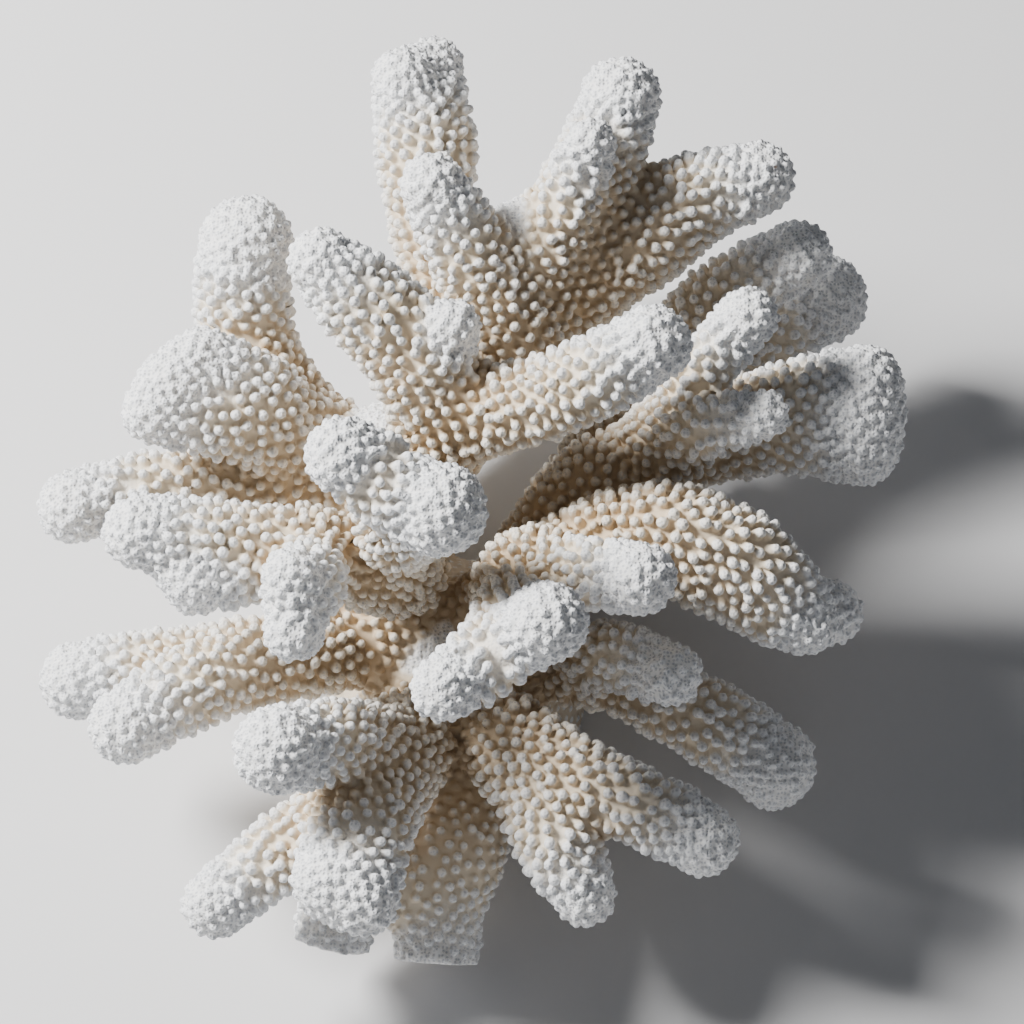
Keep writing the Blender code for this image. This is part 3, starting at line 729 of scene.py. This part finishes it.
def grow_coral():
    """All pieces of the coral, one for each CAD node, with the values their finish reads."""
    noise = np.random.RandomState(SEED)
    limbs = [Limb(*row) for row in LIMBS]
    solids = {}
    for name, solid in frame["nodes"].items():
        places = [corner.co for corner in solid.data.vertices]
        solids[name] = BVHTree.FromPolygons(places, [face.vertices for face in solid.data.polygons])
    for limb in limbs:
        limb.measure(limbs)
        limb.divide(solids)
    names = sorted(solids)
    owners = np.array([names.index(owner) for limb in limbs for owner in limb.owners])
    tangents = np.vstack([limb.tangents for limb in limbs])
    low = np.min([(limb.centres - limb.outline_radii[:, None]).min(axis=0) for limb in limbs], axis=0)
    high = np.max([(limb.centres + limb.outline_radii[:, None]).max(axis=0) for limb in limbs], axis=0)
    low = low - GRID_MARGIN
    low[2] = -STEPS_BELOW_CUT * FINE_STEP
    coarse = Grid(low, high + GRID_MARGIN, COARSE_STEP)
    growth = Growth(limbs, coarse, noise)
    fine = Grid(low, high, FINE_STEP)
    fine.shape = tuple(2 * size - 1 for size in coarse.shape)
    field = finer(growth.field, coarse, fine)
    grow_warts(field, fine, growth, tangents, noise)
    z = fine.axes(tuple(slice(0, n) for n in fine.shape))[2]
    field = np.maximum(field, -z)
    for limb in limbs:
        if limb.broken:
            end = limb.centres[-1]
            reach = limb.outline_radii[-1] + BROKEN_MARGIN
            window = fine.window(end - reach, end + reach)
            field[window] = np.maximum(field[window], limb.past_end(*fine.axes(window)))
    corners, quads = surface_of(field, fine)
    corners, triangles = thinned(corners, quads)
    normals = field_normals(field, fine, corners)
    height = np.maximum(coarse.read(growth.height, corners), LEAST_HEIGHT)
    lift = coarse.read(growth.field, corners)
    relief = np.clip(lift / height, 0.0, MOST_RELIEF)
    slopes = np.column_stack([coarse.read(slope, corners) for slope in growth.slopes])
    slopes /= np.linalg.norm(slopes, axis=1)[:, None] + TINY
    to_tip = coarse.read(growth.to_tip, corners)
    forward = tangents[coarse.nearest(growth.sample, corners)]
    lean = WART_LEAN * np.clip(to_tip / TIP_LENGTH, 0.0, 1.0)
    rooting = slopes + forward * lean[:, None]
    lift = np.clip(lift, 0.0, MOST_LIFT)[:, None]
    depths = rooting * (lift + CAP_DEPTH)
    # How enclosed the surface is: the finish paints shade and deep tan with it
    shelter = coarse.read(growth.shelter, corners + normals * SHELTER_LOOK)
    values = np.column_stack([relief, to_tip / TIP_SCALE, shelter, np.ones(len(corners))])
    roots = (corners - rooting * lift)[triangles].mean(axis=1)
    labels = owners[coarse.nearest(growth.sample, roots)]
    labels = settled_labels(labels, triangles, len(corners), len(names))
    pieces = {}
    for number, name in enumerate(names):
        own = triangles[labels == number]
        used, local = np.unique(own, return_inverse=True)
        places, faces, sources = capped(corners[used], depths[used], local.reshape(-1, 3))
        sources = used[sources]
        pieces[name] = coral_piece(name + "_surface", places, faces, values[sources], normals[sources])
    return pieces


class Nodes:
    """A short way to add and link shader nodes."""

    def __init__(self, tree):
        self.tree = tree

    def add(self, kind, inputs=(), **settings):
        """A node with its settings, and its inputs linked or set."""
        node = self.tree.nodes.new(kind)
        for name, value in settings.items():
            setattr(node, name, value)
        for key, value in dict(inputs).items():
            if isinstance(value, bpy.types.NodeSocket):
                self.tree.links.new(value, node.inputs[key])
            else:
                node.inputs[key].default_value = value
        return node

    def math(self, operation, a, b=0.0, c=0.0):
        """The result of one sum."""
        return self.add("ShaderNodeMath", {0: a, 1: b, 2: c}, operation=operation).outputs[0]

    def noise(self, place, scale):
        """Soft random values with a little finer detail."""
        inputs = {"Vector": place, "Scale": scale, "Detail": 1.0}
        return self.add("ShaderNodeTexNoise", inputs).outputs["Fac"]

    def span(self, value, limits, to_low=0.0, to_high=1.0):
        """Value between the limits, eased onto to_low to to_high."""
        inputs = {"Value": value, "From Min": limits[0], "From Max": limits[1],
                  "To Min": to_low, "To Max": to_high}
        return self.add("ShaderNodeMapRange", inputs, interpolation_type="SMOOTHSTEP").outputs["Result"]

    def mix(self, share, a, b):
        """Colour a turned into colour b by a share."""
        inputs = {0: share, 6: a, 7: b}
        return self.add("ShaderNodeMix", inputs, data_type="RGBA").outputs[2]


def cup_distance(nodes, place):
    """Distance from the middle of the nearest cup, laid over the surface from its flattest side."""
    x, y, z = nodes.add("ShaderNodeSeparateXYZ", {0: place}).outputs[:3]
    normal = nodes.add("ShaderNodeNewGeometry").outputs["Normal"]
    sides = nodes.add("ShaderNodeVectorMath", {0: normal}, operation="ABSOLUTE").outputs[0]
    nx, ny, nz = nodes.add("ShaderNodeSeparateXYZ", {0: sides}).outputs[:3]
    faces_x = nodes.math("GREATER_THAN", nx, nodes.math("MAXIMUM", ny, nz))
    faces_z = nodes.math("GREATER_THAN", nz, nodes.math("MAXIMUM", nx, ny))
    first = nodes.math("MULTIPLY_ADD", faces_x, nodes.math("SUBTRACT", y, x), x)
    second = nodes.math("MULTIPLY_ADD", faces_z, nodes.math("SUBTRACT", y, z), z)
    flat = nodes.add("ShaderNodeCombineXYZ", {0: first, 1: second}).outputs[0]
    inputs = {"Vector": flat, "Scale": CUP_SCALE, "Randomness": CUP_UNEVENNESS}
    cups = nodes.add("ShaderNodeTexVoronoi", inputs, feature="F1", voronoi_dimensions="2D")
    return cups.outputs["Distance"]


def coral_material(name):
    """Bleached coral: cream valleys, cool white wart tops, and a net of tiny cups, with painted shade in the
    valleys, cup pits and enclosed stems and a painted tint of lamp and bounce light.
    """
    material = bpy.data.materials.new(name)
    material.use_nodes = True
    nodes = Nodes(material.node_tree)
    shader = material.node_tree.nodes["Principled BSDF"]
    growth = nodes.add("ShaderNodeAttribute", attribute_name="growth")
    parts = nodes.add("ShaderNodeSeparateColor", {"Color": growth.outputs["Color"]})
    relief, to_tip, shelter = parts.outputs[:3]
    place = nodes.add("ShaderNodeTexCoord").outputs["Object"]
    patches = nodes.math("SUBTRACT", nodes.noise(place, PATCH_SCALE), 0.5)
    mottle = nodes.math("SUBTRACT", nodes.noise(place, MOTTLE_SCALE), 0.5)
    cup = cup_distance(nodes, place)
    near_tip = nodes.span(to_tip, NEAR_TIP, 1.0, 0.0)
    outer = nodes.span(to_tip, OUTER_PART, 1.0, 0.0)
    open_air = nodes.span(shelter, OPEN_AIR, 1.0, 0.0)
    raised = nodes.span(relief, RAISED_PART)
    # Painted shade: valleys in enclosed places far from the tips turn from cream to deep tan
    valley = nodes.mix(nodes.math("MULTIPLY", open_air, outer), TAN_AND_PAINTED_SHADE, CREAM_AND_PAINTED_SHADE)
    valley = nodes.mix(near_tip, valley, TIP_VALLEY)
    # Painted light tint, partly real tone: wart tops cool white near the tips, warm white further in
    top = nodes.mix(outer, WARM_WHITE_AND_BOUNCE, COOL_WHITE_AND_LAMP_TINT)
    # Wart tops lighter and valleys darker by relief: partly the coral's tone, partly painted light on tops
    # and painted shade in valleys
    whiteness = nodes.math("MULTIPLY_ADD", near_tip, TIP_WHITENESS, raised)
    whiteness = nodes.math("MULTIPLY_ADD", patches, PATCH_SHARE, whiteness)
    whiteness = nodes.math("MULTIPLY_ADD", mottle, MOTTLE_SHARE, whiteness)
    colour = nodes.mix(nodes.span(whiteness, WHITE_PART), valley, top)
    rough_skin = nodes.math("MAXIMUM", near_tip, nodes.math("MULTIPLY", raised, WART_SKIN_SHARE))
    # Painted shade: the pits of the cups darkened on the tips and wart tops
    pit = nodes.span(cup, PIT_PART, 1.0, 0.0)
    shade = nodes.math("MULTIPLY", nodes.math("MULTIPLY", pit, rough_skin), PIT_SHARE)
    colour = nodes.mix(shade, colour, PIT_SHADE_COLOUR)
    for spot, radius, stain in STAINS:
        middle = tuple(value * MM for value in spot)
        away = nodes.add("ShaderNodeVectorMath", {0: place, 1: middle}, operation="DISTANCE").outputs["Value"]
        limits = (STAIN_CORE * radius * MM, radius * MM)
        colour = nodes.mix(nodes.span(away, limits, STAIN_SHARE, 0.0), colour, stain)
    nodes.tree.links.new(colour, shader.inputs["Base Color"])
    wall = nodes.math("MULTIPLY", nodes.span(cup, WALL_PART), rough_skin)
    bump = nodes.add("ShaderNodeBump", {"Strength": BUMP_STRENGTH, "Distance": CUP_DEPTH, "Height": wall})
    nodes.tree.links.new(bump.outputs["Normal"], shader.inputs["Normal"])
    shader.inputs["Roughness"].default_value = SKIN_ROUGHNESS
    shader.inputs["Specular IOR Level"].default_value = SKIN_SHINE
    return material


def add_light(name, place, size, power, colour):
    """A square lamp turned to the middle of the coral."""
    data = bpy.data.lights.new(name, "AREA")
    data.size = size
    data.energy = power
    data.color = colour
    light = bpy.data.objects.new(name, data)
    light.location = place
    light.rotation_euler = (Vector(LIT_POINT) - Vector(place)).to_track_quat("-Z", "Y").to_euler()
    bpy.context.scene.collection.objects.link(light)


def set_stage():
    """Pale floor, soft studio light and the camera along the line of sight."""
    corners = FLOOR_REACH * np.array([(-1, -1, 0), (1, -1, 0), (1, 1, 0), (-1, 1, 0)])
    floor = bpy.data.objects.new("floor", plain_mesh("floor", corners, np.array([(0, 1, 2, 3)])))
    floor.location.z = -FLOOR_DROP
    bpy.context.scene.collection.objects.link(floor)
    paint = bpy.data.materials.new("floor")
    paint.use_nodes = True
    shader = paint.node_tree.nodes["Principled BSDF"]
    shader.inputs["Base Color"].default_value = FLOOR_COLOUR
    shader.inputs["Roughness"].default_value = FLOOR_ROUGHNESS
    floor.data.materials.append(paint)
    world = bpy.context.scene.world or bpy.data.worlds.new("world")
    bpy.context.scene.world = world
    world.use_nodes = True
    air = world.node_tree.nodes["Background"]
    air.inputs["Color"].default_value = AIR_COLOUR
    air.inputs["Strength"].default_value = AIR_STRENGTH
    for name, place, size, power, colour in LAMPS:
        add_light(name, place, size, power, colour)
    right = Vector((1.0, 0.0, 0.0))
    up = Vector((0.0, math.sin(SIGHT_RISE), math.cos(SIGHT_RISE)))
    toward = Vector((0.0, -math.cos(SIGHT_RISE), math.sin(SIGHT_RISE)))
    data = bpy.data.cameras.new("camera")
    data.sensor_width = SENSOR_WIDTH
    data.lens = EYE_DISTANCE * SENSOR_WIDTH / SIGHT_WIDTH
    data.clip_end = VIEW_REACH
    camera = bpy.data.objects.new("camera", data)
    pose = Matrix((right, up, toward)).transposed().to_4x4()
    pose.translation = (right * EYE_ACROSS + up * EYE_UP + toward * EYE_DISTANCE) * MM
    camera.matrix_world = pose
    bpy.context.scene.collection.objects.link(camera)
    bpy.context.scene.camera = camera


pieces = grow_coral()
finish = coral_material("coral")
for name, piece in pieces.items():
    piece.data.materials.append(finish)
    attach(piece, "root")
    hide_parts(name)
set_stage()
